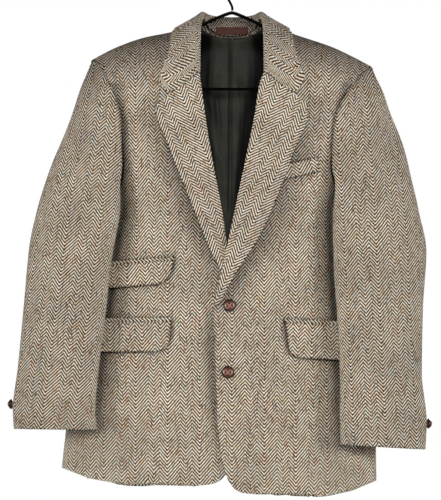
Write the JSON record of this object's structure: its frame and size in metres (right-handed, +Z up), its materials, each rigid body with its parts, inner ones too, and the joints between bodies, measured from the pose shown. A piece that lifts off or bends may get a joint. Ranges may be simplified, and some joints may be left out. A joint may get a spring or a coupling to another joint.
{
  "type": "tweed hacking jacket on a hanger",
  "caption": "Single-breasted herringbone tweed jacket with notched lapels, flap pockets and woven leather buttons, on a plain hanger.",
  "frame": {"origin": "inside of the top of the hook, where it rests on its rod", "axes": "+Z up, -Y out of the front of the jacket, +X towards the wearer's left"},
  "size_m": [0.7215, 0.1404, 0.9069],
  "materials": {
    "tweed": "herringbone wool tweed",
    "lining": "satin",
    "label": "woven ribbon",
    "leather_button": "woven, polished",
    "hanger": "satin"
  },
  "bodies": {
    "root": {"front_right": "tweed", "front_left": "tweed", "back_right": "tweed", "back_left": "tweed", "upper_sleeve_right": "tweed", "under_sleeve_right": "tweed", "upper_sleeve_left": "tweed", "under_sleeve_left": "tweed", "collar": "tweed", "lapel_right": "tweed", "lapel_left": "tweed", "ticket_flap": "tweed", "ticket_jet": "tweed", "hip_flap_right": "tweed", "hip_jet_right": "tweed", "hip_flap_left": "tweed", "hip_jet_left": "tweed", "breast_welt": "tweed", "back_lining": "lining", "label_patch": "label", "front_button_upper": "leather_button", "front_button_lower": "leather_button", "cuff_button_right": "leather_button", "cuff_button_left": "leather_button", "hanger_arms": "hanger", "hanger_bar": "hanger", "hanger_hook": "hanger"}
  },
  "joints": []
}
